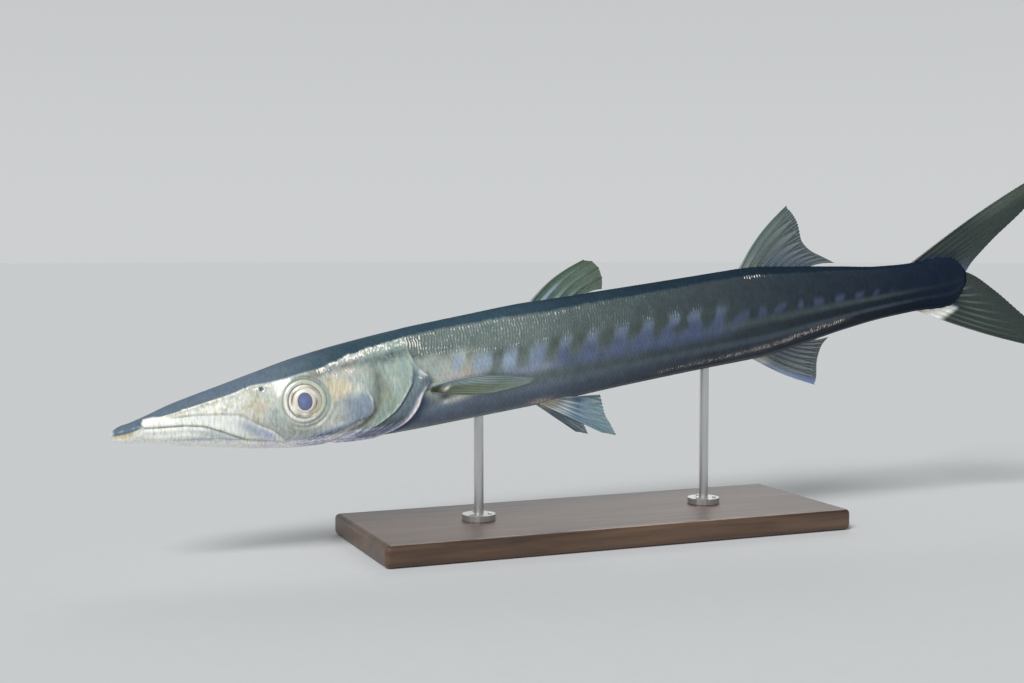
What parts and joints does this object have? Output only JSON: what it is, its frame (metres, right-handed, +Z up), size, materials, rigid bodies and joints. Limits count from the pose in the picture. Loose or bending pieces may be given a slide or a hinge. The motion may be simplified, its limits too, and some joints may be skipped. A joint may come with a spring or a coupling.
{
  "type": "barracuda",
  "caption": "Life-size still model of a barracuda: long pike-like body, jutting lower jaw, rayed fins and forked tail, swimming on a plain stand with slim rods.",
  "frame": {"origin": "on the floor, under the middle of the model's bounding box", "axes": "+X from the snout towards the tail, +Y to the fish's right, +Z up"},
  "size_m": [0.9142, 0.15, 0.3239],
  "materials": {
    "silver_skin": "wet silver fish skin",
    "eye_gloss": "clear, glossy eye",
    "fin_web": "thin, half-clear fin web",
    "stand_wood": "dark, satin wood",
    "stand_steel": "brushed steel"
  },
  "bodies": {
    "root": {"head": "silver_skin", "lower_jaw": "silver_skin", "gill_cover_left": "silver_skin", "gill_cover_right": "silver_skin", "body_front": "silver_skin", "body_middle": "silver_skin", "body_rear": "silver_skin", "tail_stem": "silver_skin", "eye_left": "eye_gloss", "eye_right": "eye_gloss", "first_dorsal_fin": "fin_web", "second_dorsal_fin": "fin_web", "anal_fin": "fin_web", "tail_fin_upper": "fin_web", "tail_fin_lower": "fin_web", "pectoral_fin_left": "fin_web", "pectoral_fin_right": "fin_web", "pelvic_fin_left": "fin_web", "pelvic_fin_right": "fin_web", "stand_base": "stand_wood", "stand_rod_front": "stand_steel", "stand_rod_rear": "stand_steel"}
  },
  "joints": []
}
